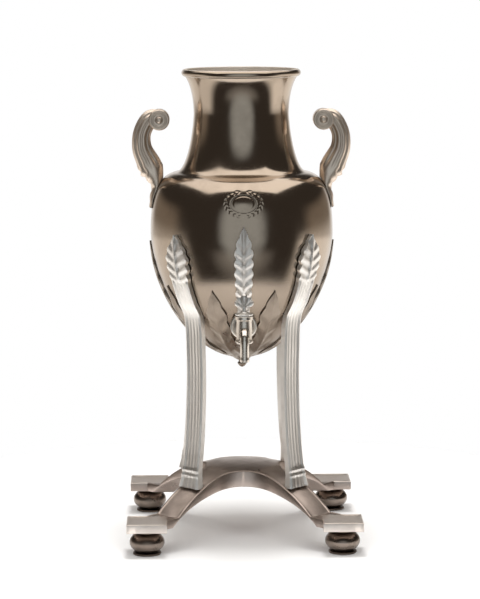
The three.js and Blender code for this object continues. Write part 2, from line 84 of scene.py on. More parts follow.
# Sizes in millimetres and fullnesses without a unit, the same as in the solids.
GAP = 0.3
TURN_GAP = 0.45
BASE_HALF, BLOCK, BLOCK_TOP = 111.0, 38.0, 32.0
FOOT_H, FOOT_R = 23.0, 16.5
DOME_TOP, DOME_FULL, ARCH_CROWN, ARCH_OVER = 69.5, 2.4, 51.0, 3.0
ARM_W, HOLLOW = 30.0, 36.0
BOTTOM, BELLY_H, BELLY_R, FULL = 175.0, 293.0, 87.5, 1.62
SHOULDER_H, SHOULDER_R = 352.0, 62.0
NECK_H, NECK_R = 407.0, 45.5
LIP_H, LIP_R, RIM, WALL = 7.0, 57.0, 450.0, 1.5
LEG_W, LEG_T, STANCE, WAIST = 21.0, 6.5, 72.0, 64.0
LEG_JOIN, LEG_TOP, LEG_HEAD, LEG_SHOE = 220.0, 298.0, 27.0, 26.0
LEAF_W, LEAF_T, LEAF_TOP, FRONT_TOP = 18.0, 2.6, 286.0, 308.0
PETAL_W, PETAL_T, PETAL_TOP = 21.0, 2.2, 246.0
DROP_R, DROP_L = 15.0, 13.0
HANDLE_FOOT, HANDLE_DEPTH, HANDLE_T = 318.0, 18.0, 23.0
REACH, REACH_H = 95.0, 378.0
EYE_H, EYE_X, EYE_R = 402.0, 78.5, 10.0
TAP_H, TAP_Y, FLANGE_R, FLANGE_FACE = 212.0, 91.0, 12.5, 68.0
TUBE_R, BARREL_R, BARREL_L, PLUG_R = 5.5, 8.5, 27.0, 5.0
SPOUT_R, SPOUT_BORE, SPOUT_REACH, SPOUT_TIP = 4.5, 3.0, 13.0, 184.0
FAN_R, FAN_T, STEM_R, STEM_L, CAP_L = 9.0, 4.5, 3.0, 4.0, 2.5


# Materials

def silver(name, colour, roughness, tarnish_and_shade, tarnish_amount, grain, grain_scale, scratch,
           painted_low_shade=None):
    """Silver with darker patina in its hollows, polished edges, fine scratches and uneven polish, and, when
    asked, painted shade that darkens it towards the bottom.
    """
    mat = bpy.data.materials.new(name)
    mat.use_nodes = True
    nodes, links = mat.node_tree.nodes, mat.node_tree.links
    shader = nodes["Principled BSDF"]
    shader.inputs["Metallic"].default_value = 1.0
    coords = nodes.new("ShaderNodeTexCoord")

    cloud = nodes.new("ShaderNodeTexNoise")
    cloud.inputs["Scale"].default_value = 26.0
    cloud.inputs["Detail"].default_value = 5.0
    cloud.inputs["Roughness"].default_value = 0.62
    links.new(coords.outputs["Object"], cloud.inputs["Vector"])

    fine = nodes.new("ShaderNodeTexNoise")
    fine.inputs["Scale"].default_value = grain_scale
    fine.inputs["Detail"].default_value = 4.0
    links.new(coords.outputs["Object"], fine.inputs["Vector"])

    stretch = nodes.new("ShaderNodeMapping")
    stretch.inputs["Scale"].default_value = (60.0, 60.0, 2600.0)
    links.new(coords.outputs["Object"], stretch.inputs["Vector"])
    lines = nodes.new("ShaderNodeTexNoise")
    lines.inputs["Scale"].default_value = 1.0
    lines.inputs["Detail"].default_value = 2.0
    links.new(stretch.outputs["Vector"], lines.inputs["Vector"])

    hollow = nodes.new("ShaderNodeAmbientOcclusion")
    hollow.samples = 4
    hollow.inputs["Distance"].default_value = 0.006
    low = nodes.new("ShaderNodeMapRange")
    low.inputs["From Min"].default_value = 0.35
    low.inputs["From Max"].default_value = 0.95
    low.inputs["To Min"].default_value = 1.0
    low.inputs["To Max"].default_value = 0.0
    links.new(hollow.outputs["AO"], low.inputs["Value"])
    patch = nodes.new("ShaderNodeMapRange")
    patch.inputs["From Min"].default_value = 0.48
    patch.inputs["From Max"].default_value = 0.78
    patch.inputs["To Min"].default_value = 0.0
    patch.inputs["To Max"].default_value = 0.55
    links.new(cloud.outputs["Fac"], patch.inputs["Value"])
    both = nodes.new("ShaderNodeMath")
    both.operation = "MAXIMUM"
    links.new(low.outputs["Result"], both.inputs[0])
    links.new(patch.outputs["Result"], both.inputs[1])
    amount = nodes.new("ShaderNodeMath")
    amount.operation = "MULTIPLY"
    amount.use_clamp = True
    amount.inputs[1].default_value = tarnish_amount
    links.new(both.outputs["Value"], amount.inputs[0])
    if painted_low_shade:  # painted shade low down, in the same dark colour: the heights in metres where it is full and gone, and how much
        full_at, gone_at, most = painted_low_shade
        parts = nodes.new("ShaderNodeSeparateXYZ")
        links.new(coords.outputs["Object"], parts.inputs[0])
        deep = nodes.new("ShaderNodeMapRange")
        deep.inputs["From Min"].default_value = full_at
        deep.inputs["From Max"].default_value = gone_at
        deep.inputs["To Min"].default_value = most
        deep.inputs["To Max"].default_value = 0.0
        links.new(parts.outputs["Z"], deep.inputs["Value"])
        upper, amount = amount, nodes.new("ShaderNodeMath")
        amount.operation = "MAXIMUM"
        links.new(upper.outputs["Value"], amount.inputs[0])
        links.new(deep.outputs["Result"], amount.inputs[1])

    tone = nodes.new("ShaderNodeMix")
    tone.data_type = "RGBA"
    tone.inputs[6].default_value = (*colour, 1)
    tone.inputs[7].default_value = (*tarnish_and_shade, 1)
    links.new(amount.outputs["Value"], tone.inputs[0])
    links.new(tone.outputs[2], shader.inputs["Base Color"])

    haze = nodes.new("ShaderNodeMapRange")
    haze.inputs["From Min"].default_value = 0.3
    haze.inputs["From Max"].default_value = 0.7
    haze.inputs["To Min"].default_value = roughness * 0.75
    haze.inputs["To Max"].default_value = roughness * 1.35
    links.new(cloud.outputs["Fac"], haze.inputs["Value"])
    dull = nodes.new("ShaderNodeMath")
    dull.operation = "MULTIPLY_ADD"
    dull.inputs[1].default_value = 0.22
    links.new(amount.outputs["Value"], dull.inputs[0])
    links.new(haze.outputs["Result"], dull.inputs[2])
    links.new(dull.outputs["Value"], shader.inputs["Roughness"])

    bump = nodes.new("ShaderNodeBump")
    bump.inputs["Strength"].default_value = grain
    bump.inputs["Distance"].default_value = 0.0004
    links.new(fine.outputs["Fac"], bump.inputs["Height"])
    marks = nodes.new("ShaderNodeBump")
    marks.inputs["Strength"].default_value = scratch
    marks.inputs["Distance"].default_value = 0.0001
    links.new(lines.outputs["Fac"], marks.inputs["Height"])
    links.new(bump.outputs["Normal"], marks.inputs["Normal"])
    links.new(marks.outputs["Normal"], shader.inputs["Normal"])
    return mat


# The dark colour of tarnish, also used for the painted shade low on the polished silver.
TARNISH_AND_SHADE = (0.085, 0.058, 0.038)
# The polished silver gets painted shade towards the bottom, full below 0.215 m and gone above 0.272 m, for
# the shaded floor that the lower bowl reflects.
POLISHED = silver("polished_silver", (0.50, 0.412, 0.33), 0.14, TARNISH_AND_SHADE, 0.45, 0.05, 90.0, 0.05,
                  (0.215, 0.272, 0.60))
DULL = silver("dull_silver", (0.95, 0.88, 0.80), 0.60, TARNISH_AND_SHADE, 0.40, 0.10, 120.0, 0.05)
TURNED = silver("turned_silver", (0.95, 0.87, 0.78), 0.28, TARNISH_AND_SHADE, 0.40, 0.05, 140.0, 0.08)
HANDLE = silver("handle_silver", (0.93, 0.80, 0.68), 0.36, TARNISH_AND_SHADE, 0.50, 0.10, 160.0, 0.06)
CHASED = silver("chased_silver", (0.98, 0.945, 0.90), 0.42, TARNISH_AND_SHADE, 0.20, 0.20, 420.0, 0.05)
# Painted shade: the calyx leaves and drop take a much darker copy of the silver, for the shade under the
# bowl.
CALYX_SHADED = silver("calyx_silver_painted_shade", (0.35, 0.29, 0.235), 0.30, TARNISH_AND_SHADE, 0.55, 0.20, 420.0, 0.05)
BASE = silver("base_silver", (0.58, 0.485, 0.43), 0.32, TARNISH_AND_SHADE, 0.70, 0.12, 200.0, 0.06)
# Painted highlight: the corner blocks take a paler copy of the base silver, for their tops catching the
# light.
BLOCKS_LIT = silver("block_silver_painted_highlight", (0.95, 0.86, 0.79), 0.40, TARNISH_AND_SHADE, 0.30, 0.12, 200.0, 0.06)
# Painted shade: the bun feet take a much darker copy of the silver, for the shade under the corner blocks.
BUN_SHADED = silver("foot_silver_painted_shade", (0.27, 0.222, 0.188), 0.24, TARNISH_AND_SHADE, 0.80, 0.08, 160.0, 0.08)


# Mesh making

def mesh_object(name, verts, faces, material, sharp=40):
    """A mesh from points in millimetres, with doubles merged and faces turned out."""
    mesh = bpy.data.meshes.new(name)
    mesh.from_pydata([tuple(c * MM for c in v) for v in verts], [], [tuple(f) for f in faces])
    work = bmesh.new()
    work.from_mesh(mesh)
    bmesh.ops.remove_doubles(work, verts=work.verts, dist=1e-6)
    bmesh.ops.recalc_face_normals(work, faces=work.faces)
    limit = math.radians(sharp)
    for face in work.faces:
        face.smooth = True
    for edge in work.edges:
        if len(edge.link_faces) == 2 and edge.calc_face_angle(0) > limit:
            edge.smooth = False
    work.to_mesh(mesh)
    work.free()
    mesh.materials.append(material)
    obj = bpy.data.objects.new(name, mesh)
    bpy.context.scene.collection.objects.link(obj)
    return obj


def skin_between(rows):
    """Faces between neighbouring rows of point numbers, where a row may be one point repeated."""
    faces = []
    for low, high in zip(rows, rows[1:]):
        for i in range(len(low)):
            j = (i + 1) % len(low)
            face = [low[i], low[j], high[j], high[i]]
            unique = [v for k, v in enumerate(face) if v not in face[:k]]
            if len(unique) > 2:
                faces.append(unique)
    return faces


def half_round(r, z, wide, tall, steps):
    """A moulding's rounded edge in a turned outline, from its underside to its top."""
    turns = [-math.pi / 2 + math.pi * i / steps for i in range(steps + 1)]
    return [(r + wide * math.cos(a), z + tall * math.sin(a)) for a in turns]


class Build:
    """Collects several closed skins for one object."""

    def __init__(self):
        self.verts, self.faces = [], []

    def add(self, verts, faces, move=None):
        start = len(self.verts)
        self.verts += [tuple(move(*v)) if move else tuple(v) for v in verts]
        self.faces += [[start + i for i in f] for f in faces]
        return self

    def lathe(self, profile, steps, move=None):
        turns = [TAU * i / steps for i in range(steps)]
        verts, rows = [], []
        for r, z in profile:
            if r < 1e-6:
                rows.append([len(verts)] * steps)
                verts.append((0, 0, z))
            else:
                rows.append(list(range(len(verts), len(verts) + steps)))
                verts += [(r * math.cos(a), r * math.sin(a), z) for a in turns]
        return self.add(verts, skin_between(rows), move)

    def loft(self, rings, move=None):
        count = len(rings[0])
        verts = [p for ring in rings for p in ring]
        faces = []
        for i in range(len(rings) - 1):
            for j in range(count):
                k = (j + 1) % count
                faces.append([i * count + j, i * count + k, (i + 1) * count + k, (i + 1) * count + j])
        for i in (0, len(rings) - 1):
            middle = np.mean(np.array(rings[i]), axis=0)
            verts.append(tuple(middle))
            for j in range(count):
                faces.append([i * count + j, i * count + (j + 1) % count, len(verts) - 1])
        return self.add(verts, faces, move)

    def make(self, name, material, sharp=40):
        return mesh_object(name, self.verts, self.faces, material, sharp)


def bezier(p0, p1, p2, p3, count):
    t = np.linspace(0, 1, count)[:, None]
    p0, p1, p2, p3 = map(np.array, (p0, p1, p2, p3))
    return (1 - t) ** 3 * p0 + 3 * t * (1 - t) ** 2 * p1 + 3 * t**2 * (1 - t) * p2 + t**3 * p3


def centripetal(points, count):
    """An even walk along the centripetal curve through the points."""
    pts = [np.array(p, float) for p in points]
    pts = [2 * pts[0] - pts[1]] + pts + [2 * pts[-1] - pts[-2]]
    fine = []
    for i in range(len(pts) - 3):
        p0, p1, p2, p3 = pts[i : i + 4]
        spans = ((p0, p1), (p1, p2), (p2, p3))
        d0, d1, d2 = (max(np.linalg.norm(b - a) ** 0.5, 1e-4) for a, b in spans)
        m1 = ((p1 - p0) / d0 - (p2 - p0) / (d0 + d1) + (p2 - p1) / d1) * d1
        m2 = ((p2 - p1) / d1 - (p3 - p1) / (d1 + d2) + (p3 - p2) / d2) * d1
        t = np.linspace(0, 1, 60, endpoint=False)[:, None]
        cubic, square = 2 * p1 - 2 * p2 + m1 + m2, -3 * p1 + 3 * p2 - 2 * m1 - m2
        fine.append(cubic * t**3 + square * t**2 + m1 * t + p1)
    fine = np.vstack(fine + [pts[-2][None]])
    return even(fine, count)


def even(points, count):
    """The same line through points at even distances."""
    length = np.concatenate([[0], np.cumsum(np.linalg.norm(np.diff(points, axis=0), axis=1))])
    at = np.linspace(0, length[-1], count)
    return np.stack([np.interp(at, length, points[:, k]) for k in range(points.shape[1])], 1)


def tangents(points):
    slope = np.gradient(points, axis=0)
    return slope / np.linalg.norm(slope, axis=1)[:, None]


def smooth(x, low, high):
    t = np.clip((x - low) / (high - low), 0, 1)
    return t * t * (3 - 2 * t)


# The vase's outline, from the middle of its bottom to below the lip.

ANGLES = np.linspace(0, math.pi / 2, 160)
BOWL = np.stack([BELLY_R * np.sin(ANGLES),
                 BELLY_H - np.clip(np.cos(ANGLES), 0, 1) ** (2 / FULL) * (BELLY_H - BOTTOM)], 1)
RISE, DRAW = SHOULDER_H - BELLY_H, BELLY_R - SHOULDER_R
NRISE, NDRAW = NECK_H - SHOULDER_H, SHOULDER_R - NECK_R
FTOP = RIM - LIP_H
FRISE, FSPREAD = FTOP - NECK_H, LIP_R - LIP_H / 2 - NECK_R
SHOULDER = bezier((BELLY_R, BELLY_H), (BELLY_R, BELLY_H + 0.56 * RISE),
                  (SHOULDER_R + 0.8 * DRAW, SHOULDER_H - 3), (SHOULDER_R, SHOULDER_H), 90)
NECK = bezier((SHOULDER_R, SHOULDER_H), (NECK_R + 0.6 * NDRAW, SHOULDER_H + 0.02 * NRISE),
              (NECK_R + 0.14 * NDRAW, SHOULDER_H + 0.4 * NRISE), (NECK_R, NECK_H), 90)
FLARE = bezier((NECK_R, NECK_H), (NECK_R, NECK_H + 0.45 * FRISE),
               (NECK_R + 0.4 * FSPREAD, NECK_H + 0.8 * FRISE), (NECK_R + FSPREAD, FTOP), 60)
PATH = even(np.vstack([BOWL, SHOULDER[1:], NECK[1:], FLARE[1:]]), 1600)
ALONG = tangents(PATH)
OUT = np.stack([ALONG[:, 1], -ALONG[:, 0]], 1)


def at_share(values, share):
    """The value that a list along the outline has at a share of the outline's length."""
    index = np.arange(len(PATH))
    return np.array([np.interp(share * (len(PATH) - 1), index, values[:, k]) for k in (0, 1)])


def on_vase(share, lift):
    """Radius and height outside the vase, at a share of its outline's length."""
    return tuple(at_share(PATH, share) + lift * at_share(OUT, share))


def share_at(height):
    return float(np.interp(height, PATH[:, 1], np.linspace(0, 1, len(PATH))))


def vase_radius(height):
    return float(np.interp(height, PATH[:, 1], PATH[:, 0]))


# The vase

# Half the oval's width and height and its middle radius, half the wreath's height,
# and half the length and width of a stroke of the wreath.
OVAL_W, OVAL_H, OVAL_R, WREATH_H = 10.5, 7.4, 9.0, 7.6
STROKE_L, STROKE_W = 2.0, 0.62
# The height of the oval's middle, and the patch of finer mesh round the engraving, in millimetres
# up the vase and in degrees to each side.
PLATE_H, PLATE_LOW, PLATE_HIGH, PLATE_TURN = 329.0, 312.0, 346.0, 20


def wreath(across, up):
    """Depth of the engraving round the plain oval on the front of the shoulder, 0 to 1."""
    ring = np.hypot(across / OVAL_W, up / OVAL_H)
    bold, thin = (ring - 1) * OVAL_R / 0.9, (ring - 1.16) * OVAL_R / 0.5
    depth = 0.9 * (np.exp(-(bold**2)) + 0.8 * np.exp(-(thin**2)))
    for side in (-1, 1):
        for i in range(9):
            turn = math.radians(-72 + 18 * i)
            for row, tilt in ((1.42, 0.55), (1.66, -0.35)):
                cx, cy = side * OVAL_W * row * math.cos(turn), WREATH_H * row * math.sin(turn)
                aim = turn + math.pi / 2 - tilt
                ax, ay = side * math.cos(aim), math.sin(aim)
                along = (across - cx) * ax + (up - cy) * ay
                off = -(across - cx) * ay + (up - cy) * ax
                depth = depth + np.exp(-((along / STROKE_L) ** 2 + (off / STROKE_W) ** 2) ** 2)
    return np.clip(depth, 0, 1)


front = np.radians(np.linspace(-PLATE_TURN, PLATE_TURN, 104))
rest = np.radians(np.linspace(PLATE_TURN, 360 - PLATE_TURN, 149))[1:-1]
turns = np.concatenate([front, rest]) - math.pi / 2
shares = np.concatenate([
    np.linspace(0, share_at(PLATE_LOW), 74, endpoint=False),
    np.linspace(share_at(PLATE_LOW), share_at(PLATE_HIGH), 62, endpoint=False),
    np.linspace(share_at(PLATE_HIGH), 1, 56),
])
plate_share = share_at(PLATE_H)
path_length = float(np.sum(np.linalg.norm(np.diff(PATH, axis=0), axis=1)))
profile = [on_vase(s, 0) for s in shares]
profile[0] = (0, BOTTOM)
half = LIP_H / 2
lip = half_round(LIP_R - half, RIM - half, half, half, 14)[1:]
inside = [on_vase(s, -WALL) for s in np.linspace(0, 1, 70)][::-1]
inside[-1] = (0, BOTTOM + WALL)
mouth = inside[0][0]
edge = [(mouth + 0.8, RIM), (mouth + 0.23, RIM - 0.25), (mouth, RIM - 0.8)]
rows = profile + lip + edge + inside
count = len(turns)
verts, grid = [], []
swing = np.angle(np.exp(1j * (turns + math.pi / 2)))
for n, (r, z) in enumerate(rows):
    if r < 1e-6:
        grid.append([len(verts)] * count)
        verts.append((0, 0, z))
        continue
    grid.append(list(range(len(verts), len(verts) + count)))
    sink = np.zeros(count)
    if n < len(profile) and PLATE_LOW - 2 < z < PLATE_HIGH + 2:
        up = (shares[n] - plate_share) * path_length
        inner = np.hypot(swing * r / OVAL_W, up / OVAL_H)
        sink = 0.32 * wreath(swing * r, up) - 0.35 * (1 - smooth(inner, 0.0, 0.95))
    tilt = at_share(OUT, shares[min(n, len(shares) - 1)])
    for a, d in zip(turns, sink):
        rr, zz = r - d * tilt[0], z - d * tilt[1]
        verts.append((rr * math.cos(a), rr * math.sin(a), zz))
vase = mesh_object("vase_raised", verts, skin_between(grid), POLISHED, 50)
vase.data.materials.append(DULL)  # for the inside
for face in vase.data.polygons:
    x, y, z = (c / MM for c in face.center)
    skin = vase_radius(z) if z < FTOP else LIP_R - 1.2
    if math.hypot(x, y) < skin - WALL * 0.6 and z > BOTTOM + 0.8:
        face.material_index = 1
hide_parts("vase")


# Leaves on the vase

def leaf_rings(from_share, to_share, full, thick, steps, lobes, notch):
    """A leaf with a midrib, side veins and a lobed edge, pointed at its top, towards +X."""
    rings = []
    points_across = 13
    for i in range(steps + 1):
        t = i / steps
        share = from_share + (to_share - from_share) * t
        spread = 0.55 + 0.45 * math.sin(min(t / 0.6, 1) * math.pi / 2)
        point = math.cos((t - 0.7) / 0.3 * math.pi / 2) if t > 0.7 else 1
        point = max(point, 0.05)
        saw = (t * lobes) % 1
        cut = notch * (1 - math.sin(saw * math.pi)) * smooth(t, 0.12, 0.3)
        half = 0.5 * full * spread * point * (1 - cut)
        lift = thick * (0.4 + 0.6 * point)
        outer = []
        for j in range(points_across):
            u = -1 + 2 * j / (points_across - 1)
            crown = 0.45 + 0.3 * (1 - abs(u) ** 1.6)
            rib = 0.38 * math.exp(-((u * half) / 1.15) ** 2)
            vein = 0.15 * math.cos(TAU * (t * lobes - abs(u) * 0.75))
            vein *= 1 - math.exp(-((u * half) / 1.6) ** 2)
            edge = 0.14 * math.exp(-((1 - abs(u)) * half / 0.8) ** 2)
            outer.append((u * half, GAP + lift * (crown + rib + vein + edge)))
        section = outer + [(half, GAP * 0.4), (0, GAP * 0.3), (-half, GAP * 0.4)]
        ring = []
        for across, out in section:
            r, z = on_vase(share, out)
            turn = across / max(r, full / 2)
            ring.append((r * math.cos(turn), r * math.sin(turn), z))
        rings.append(ring)
    return rings


def spin(angle):
    c, s = math.cos(angle), math.sin(angle)
    return lambda x, y, z: (c * x - s * y, s * x + c * y, z)


# Rows, lobes and depth of the notches of each kind of leaf
LONG_LEAF, SHORT_LEAF, PETAL = (84, 9, 0.22), (30, 3, 0.15), (60, 6, 0.18)
FRONT = spin(-math.pi / 2)

start = share_at(BOTTOM + 0.6)
calyx = Build()
long_leaf = leaf_rings(start, share_at(LEAF_TOP), LEAF_W, LEAF_T, *LONG_LEAF)
for k in (0, 1, 2):
    calyx.loft(long_leaf, spin(k * math.pi / 2))
calyx.loft(leaf_rings(start, share_at(TAP_H - FLANGE_R), LEAF_W, LEAF_T, *SHORT_LEAF), FRONT)
petal = leaf_rings(start, share_at(PETAL_TOP), PETAL_W, PETAL_T, *PETAL)
for k in range(8):
    calyx.loft(petal, spin(math.radians(22.5 + 45 * k)))
drop_marks = [
    (BOTTOM - DROP_L, 0.4), (BOTTOM - DROP_L * 0.9, 2.6), (BOTTOM - DROP_L * 0.68, 4.4),
    (BOTTOM - DROP_L * 0.52, 3.0), (BOTTOM - DROP_L * 0.4, 5.5), (BOTTOM - DROP_L * 0.28, 8.0),
    (BOTTOM - 2.6, 9.2), (BOTTOM - 0.8, 13.8), (BOTTOM + 1.0, DROP_R),
]
drop = [(0, BOTTOM - DROP_L)] + [(r, z) for z, r in centripetal(drop_marks, 44)]
drop += [(DROP_R, BOTTOM + 2.5), (0, BOTTOM + 2.5)]
calyx.lathe(drop, 64)
calyx = calyx.make("calyx_chased", CALYX_SHADED, 60)
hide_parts("calyx")

top_leaf = leaf_rings(share_at(TAP_H + FLANGE_R * 0.8), share_at(FRONT_TOP), LEAF_W, LEAF_T, *LONG_LEAF)
top_leaf = Build().loft(top_leaf, FRONT).make("front_leaf_chased", CHASED, 60)
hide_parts("front_leaf")


# The base

# Places along a diagonal of the base: the end of its middle, and of a block the inner corner,
# the middle and the outer corner.
HUB = HOLLOW / ROOT2
BLOCK_AT = ROOT2 * (BASE_HALF - BLOCK)
BLOCK_MIDDLE = ROOT2 * (BASE_HALF - BLOCK / 2)
CORNER = ROOT2 * BASE_HALF


def dome(radius):
    return DOME_TOP - (DOME_TOP - BLOCK_TOP) * np.minimum(radius / BLOCK_AT, 1) ** DOME_FULL


def arch(u):
    span = BASE_HALF - BLOCK + ARCH_OVER
    return ARCH_CROWN * np.sqrt(np.clip(1 - (u / span) ** 2, 0, 1))


def half_width(s):
    """Half the width of the base across its diagonal, at a distance along that diagonal."""
    shift = ARM_W / 2
    hollow_r = (HOLLOW - shift * ROOT2) / (ROOT2 - 1)
    centre = (HOLLOW + hollow_r) / ROOT2
    if s <= HUB:
        w = s
    elif s < centre:
        w = centre - math.sqrt(max(hollow_r**2 - (s - centre) ** 2, 0))
    else:
        w = shift
    if s > BLOCK_AT:
        w = max(w if s < (BLOCK_AT + CORNER) / 2 else 0, min(s - BLOCK_AT, CORNER - s))
    return w


# The mesh's points across an arm: first at shares of its half width, then at distances from its
# edge, but no nearer to its middle than the last shares. The stops are its rows along the arm.
ACROSS = (0.2, 0.4, 0.55)
EDGE_STEPS = (3.6, 2.9, 2.3, 1.3, 0.75, 0.35)
EDGE_SHARES = (0.64, 0.72, 0.79, 0.88, 0.94, 0.97)
stops = [*np.linspace(0, HUB, 22), *np.linspace(HUB, BLOCK_AT, 70)]
stops += [BLOCK_AT + ARM_W / 2, BLOCK_AT + ARM_W / 2 - 0.9, BLOCK_MIDDLE]
stops += [*np.linspace(BLOCK_AT, CORNER - 0.02, 44), CORNER - 0.3, CORNER - 0.8, CORNER - 1.4]
stops = sorted(set(round(v, 4) for v in stops))
# The depth of the sunk panel inside the raised border, how far in from the edge the border ends,
# and where the panel starts. Then the radius of the rounded edge and how much of it is used.
PANEL, BORDER, PANEL_START = 0.6, (2.2, 3.1), (30, 40)
ROUND, ROUND_USED = 1.3, 1.1

# One quarter of the base, with its corner towards +X.
verts, faces, tops, lows = [], [], [], []
for s in stops:
    w = half_width(s)
    open_side = s > HUB + 1e-6
    offs = [w * share for share in ACROSS]
    for step, least in zip(EDGE_STEPS, EDGE_SHARES):
        offs.append(max(w - step, least * w) if open_side else least * w)
    offs.append(w)
    top, low = [], []
    for t in [-o for o in reversed(offs)] + [0.0] + offs:
        rim = w - abs(t) if open_side else FAR
        to_corner = (CORNER - s - abs(t)) / ROOT2 if s > BLOCK_AT else FAR
        rim = min(rim, max(to_corner, 0))
        soft = 0.0 if rim > ROUND else ROUND - math.sqrt(max(ROUND**2 - (ROUND - rim) ** 2, 0))
        soft = min(soft, ROUND_USED)
        x, y = (s - t) / ROOT2, (s + t) / ROOT2
        sunk = PANEL * float(smooth(rim, *BORDER)) * float(smooth(s, *PANEL_START))
        z_top = float(dome(math.hypot(s, t))) - soft - sunk
        z_low = max(float(arch(min(abs(x), abs(y)))), FOOT_H + GAP) + 0.5 * soft
        top.append(len(verts))
        low.append(len(verts) + 1)
        verts += [(s, t, z_top), (s, t, min(z_low, z_top - 0.6))]
    tops.append(top)
    lows.append(low)
width = len(tops[0])
for i in range(len(stops) - 1):
    for j in range(width - 1):
        faces.append([tops[i][j], tops[i + 1][j], tops[i + 1][j + 1], tops[i][j + 1]])
        faces.append([lows[i][j], lows[i][j + 1], lows[i + 1][j + 1], lows[i + 1][j]])
    if stops[i + 1] > HUB + 1e-6:
        for j in (0, width - 1):
            faces.append([tops[i][j], lows[i][j], lows[i + 1][j], tops[i + 1][j]])
for j in range(width - 1):
    faces.append([tops[-1][j], tops[-1][j + 1], lows[-1][j + 1], lows[-1][j]])
base = Build()
for quarter in range(4):
    base.add(verts, faces, spin(math.pi / 4 + quarter * math.pi / 2))
base = base.make("base_cast", BASE, 34)
base.data.materials.append(BLOCKS_LIT)  # painted highlight: the paler copy of the base silver, for the corner blocks
for face in base.data.polygons:
    x, y, z = (abs(c) / MM for c in face.center)
    if min(x, y) > BASE_HALF - BLOCK and z > FOOT_H + 1:
        face.material_index = 1
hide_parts("base")


# Feet

def foot_profile():
    """The outline of a bun foot from the floor up: a moulded pad, a ball and a moulded ring."""
    pad, ring = 0.1 * FOOT_H, 0.09 * FOOT_H
    low, high = 0.12 * FOOT_H, 0.89 * FOOT_H
    points = [(0, 0), (0.72 * FOOT_R, 0), (0.755 * FOOT_R, 0.12)]
    points += half_round(0.76 * FOOT_R, pad / 2, 0.05 * FOOT_R, 0.44 * pad, 8)
    points.append((0.58 * FOOT_R, 0.5 * (pad + low)))
    for i in range(41):
        up = math.sin(math.pi * (i / 40 - 0.5))
        points.append((FOOT_R * math.sqrt(1 - 0.64 * up * up), (low + high) / 2 + up * (high - low) / 2))
    points.append((0.57 * FOOT_R, 0.5 * (high + FOOT_H - ring)))
    points += half_round(0.7 * FOOT_R, FOOT_H - ring / 2, 0.05 * FOOT_R, 0.46 * ring, 6)
    return points + [(0.6 * FOOT_R, FOOT_H), (0, FOOT_H)]


corners = (("back_right", 45), ("back_left", 135), ("front_left", 225), ("front_right", 315))
for name, angle in corners:
    a = math.radians(angle)
    x0, y0 = BLOCK_MIDDLE * math.cos(a), BLOCK_MIDDLE * math.sin(a)
    foot = Build().lathe(foot_profile(), 72, lambda x, y, z: (x + x0, y + y0, z))
    foot = foot.make("bun_" + name, BUN_SHADED)
    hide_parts("foot_" + name)


# Legs

def swept(points, rows, section_at):
    """Rings of points along a curve in the plane of X and Z, each with the section made for its place."""
    line = centripetal(points, rows + 1)
    along = tangents(line)
    rings = []
    for i in range(rows + 1):
        (x, z), (tx, tz) = line[i], along[i]
        rings.append([(x + tz * out, across, z - tx * out) for across, out in section_at(i / rows, x, z)])
    return rings


# How far a leg's middle lies outside the bowl. Then the lengths of the leaf at its top and of
# the spread at its bottom, the place along the leaf where it is widest, and its lobes.
LEG_LIFT = 0.42 * LEG_T
HEAD_L, SHOE_L, WIDEST, LEG_LOBES = 46.0, 24.0, 0.45, 5
# The heights above the base of two rings round the leg, and the points across its face.
RING_LOW, RING_HIGH, LEG_POINTS = 12, 17, 28

base_top = float(dome(STANCE))
leg_rise = BOTTOM - base_top
leg_points = [
    (STANCE + 0.3, base_top + 0.2),
    (STANCE, base_top + 3),
    (WAIST + 0.36 * (STANCE - WAIST), base_top + 0.33 * leg_rise),
    (WAIST, base_top + 0.7 * leg_rise),
    (WAIST, base_top + 1.05 * leg_rise),
]
low_share, high_share = share_at(LEG_JOIN), share_at(LEG_TOP)
for i in range(6):
    leg_points.append(on_vase(low_share + (high_share - low_share) * i / 5, GAP + LEG_LIFT))


def leg_section(share, x, z):
    """A strap with raised edges and reeds low down, and a leaf with a midrib and veins at the top."""
    head = min(max((z - (LEG_TOP - HEAD_L)) / HEAD_L, 0), 1)
    shoe = min(max(1 - (z - base_top) / SHOE_L, 0), 1) ** 2
    swell = math.sin(min(head / WIDEST, 1) * math.pi / 2) * (LEG_HEAD - LEG_W)
    point = math.cos((head - WIDEST) / (1 - WIDEST) * math.pi / 2) if head > WIDEST else 1
    width = (LEG_W + swell) * max(point, 0.06) + shoe * (LEG_SHOE - LEG_W)
    saw = (head * LEG_LOBES) % 1
    width *= 1 - 0.16 * (1 - math.sin(saw * math.pi)) * smooth(head, 0, 0.15) * (1 - smooth(head, 0.9, 1))
    thick = LEG_T * (1 - 0.3 * head + 0.6 * shoe)
    half, out = width / 2, thick / 2
    up = z - base_top
    rings = 0.25 * math.exp(-((up - RING_HIGH) / 1.6) ** 2) + 0.18 * math.exp(-((up - RING_LOW) / 1.2) ** 2)
    mix = smooth(head, 0.0, 0.12)
    points = []
    for j in range(LEG_POINTS + 1):
        u = -1 + 2 * j / LEG_POINTS
        bead = 0.42 * math.exp(-((abs(u) - 0.8) / 0.13) ** 2)
        reeds = 0.16 * abs(math.cos(u * 2.5 * math.pi)) * (1 - smooth(abs(u), 0.5, 0.62))
        strap = 0.45 + bead + reeds
        rib = 0.45 * math.exp(-((u * half) / 1.4) ** 2)
        vein = 0.2 * math.cos(TAU * (head * LEG_LOBES - abs(u) * 0.8))
        vein *= 1 - math.exp(-((u * half) / 2) ** 2)
        leafy = 0.5 + 0.25 * (1 - abs(u) ** 1.5) + rib + vein
        points.append((u * half, out * (strap * (1 - mix) + leafy * mix + rings)))
    back = 0.1 - LEG_LIFT if z > LEG_JOIN else -out
    return points + [(half, 0.3 * out), (half, back), (0, back), (-half, back), (-half, 0.3 * out)]


